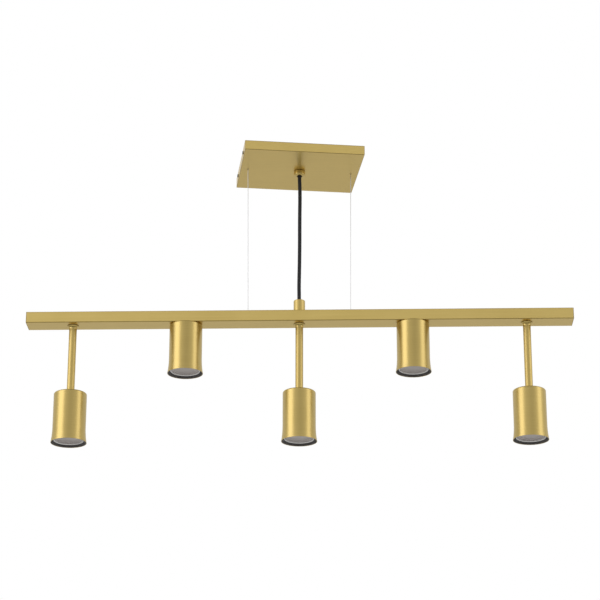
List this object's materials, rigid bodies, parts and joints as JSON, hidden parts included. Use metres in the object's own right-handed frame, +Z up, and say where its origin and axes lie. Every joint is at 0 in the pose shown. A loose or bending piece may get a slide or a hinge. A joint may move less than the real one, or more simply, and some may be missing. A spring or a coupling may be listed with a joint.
{
  "type": "linear island pendant",
  "caption": "Linear island pendant: rectangular canopy, cord and wires, a slim tube bar, and cylindrical flared cups hung at alternating heights.",
  "frame": {"origin": "ceiling plane, centre of the canopy's fixing holes, above the middle of the bar", "axes": "+X along the bar, +Z up"},
  "size_m": [0.9, 0.1884, 0.492],
  "materials": {
    "black_cord": "matt black sheath",
    "black_screw": "blackened steel",
    "black_trim": "satin black",
    "frosted_lens": "frosted diffuser, unlit",
    "holder_ceramic": "unglazed steatite",
    "lamp_plastic": "semi-gloss light grey",
    "nickel_brass": "nickel-plated",
    "plated_steel": "zinc-plated",
    "satin_brass": "brushed satin brass",
    "steel_wire": "stranded stainless wire",
    "white_nylon": "moulded nylon",
    "zinc_steel": "zinc-plated sheet steel"
  },
  "bodies": {
    "canopy": {"ceiling_bracket": "zinc_steel", "canopy_cover": "satin_brass", "canopy_side_screws": "black_screw", "canopy_cord_bush": "satin_brass", "canopy_bush_nut": "plated_steel", "terminal_block": "white_nylon", "terminal_screws": "plated_steel", "earth_screw": "plated_steel", "left_gripper_barrel": "nickel_brass", "right_gripper_barrel": "nickel_brass", "wire_ends": "steel_wire", "cord_tail": "black_cord"},
    "left_release": {"left_gripper_release": "nickel_brass"},
    "right_release": {"right_gripper_release": "nickel_brass"},
    "suspension": {"power_cord": "black_cord", "suspension_wire_left": "steel_wire", "suspension_wire_right": "steel_wire"},
    "bar": {"bar_cord_bush": "satin_brass", "bar_tube": "satin_brass", "centre_drop_rod": "satin_brass", "centre_rod_collar": "satin_brass", "holder_screws": "plated_steel", "holder_straps": "zinc_steel", "lamp_bezel_1": "black_trim", "lamp_bezel_2": "black_trim", "lamp_bezel_3": "black_trim", "lamp_bezel_4": "black_trim", "lamp_bezel_5": "black_trim", "lamp_cup_1": "satin_brass", "lamp_cup_2": "satin_brass", "lamp_cup_3": "satin_brass", "lamp_cup_4": "satin_brass", "lamp_cup_5": "satin_brass", "lampholder_1": "holder_ceramic", "lampholder_2": "holder_ceramic", "lampholder_3": "holder_ceramic", "lampholder_4": "holder_ceramic", "lampholder_5": "holder_ceramic", "left_drop_rod": "satin_brass", "left_end_cap": "satin_brass", "left_rod_collar": "satin_brass", "locknuts": "plated_steel", "right_drop_rod": "satin_brass", "right_end_cap": "satin_brass", "right_rod_collar": "satin_brass", "threaded_nipples": "plated_steel", "wire_anchors": "plated_steel"},
    "lamp_1": {"lamp_body_1": "lamp_plastic", "lamp_lens_1": "frosted_lens"},
    "lamp_2": {"lamp_body_2": "lamp_plastic", "lamp_lens_2": "frosted_lens"},
    "lamp_3": {"lamp_body_3": "lamp_plastic", "lamp_lens_3": "frosted_lens"},
    "lamp_4": {"lamp_body_4": "lamp_plastic", "lamp_lens_4": "frosted_lens"},
    "lamp_5": {"lamp_body_5": "lamp_plastic", "lamp_lens_5": "frosted_lens"}
  },
  "joints": [
    {"name": "left_release_push", "type": "slide", "parent": "canopy", "child": "left_release", "axis": [0, 0, 1], "range_m": [0, 0.0015], "stiffness_N_per_m": 500, "springref_m": -0.001},
    {"name": "right_release_push", "type": "slide", "parent": "canopy", "child": "right_release", "axis": [0, 0, 1], "range_m": [0, 0.0015], "stiffness_N_per_m": 500, "springref_m": -0.001},
    {"name": "swing", "type": "hinge", "parent": "canopy", "child": "suspension", "pos_m": [0, 0, -0.016], "axis": [0.99, 0.1409, 0], "range_deg": [-8, 8]},
    {"name": "height", "type": "slide", "parent": "suspension", "child": "bar", "axis": [0, 0, 1], "range_m": [0, 0.12], "deforming": ["power_cord", "suspension_wire_left", "suspension_wire_right"]},
    {"name": "lamp_1_turn", "type": "hinge", "parent": "bar", "child": "lamp_1", "pos_m": [-0.374, 0, -0.478], "axis": [0, 0, -1], "range_deg": [0, 25]},
    {"name": "lamp_2_turn", "type": "hinge", "parent": "bar", "child": "lamp_2", "pos_m": [-0.187, 0, -0.361], "axis": [0, 0, -1], "range_deg": [0, 25]},
    {"name": "lamp_3_turn", "type": "hinge", "parent": "bar", "child": "lamp_3", "pos_m": [0, 0, -0.478], "axis": [0, 0, -1], "range_deg": [0, 25]},
    {"name": "lamp_4_turn", "type": "hinge", "parent": "bar", "child": "lamp_4", "pos_m": [0.187, 0, -0.361], "axis": [0, 0, -1], "range_deg": [0, 25]},
    {"name": "lamp_5_turn", "type": "hinge", "parent": "bar", "child": "lamp_5", "pos_m": [0.374, 0, -0.478], "axis": [0, 0, -1], "range_deg": [0, 25]}
  ]
}
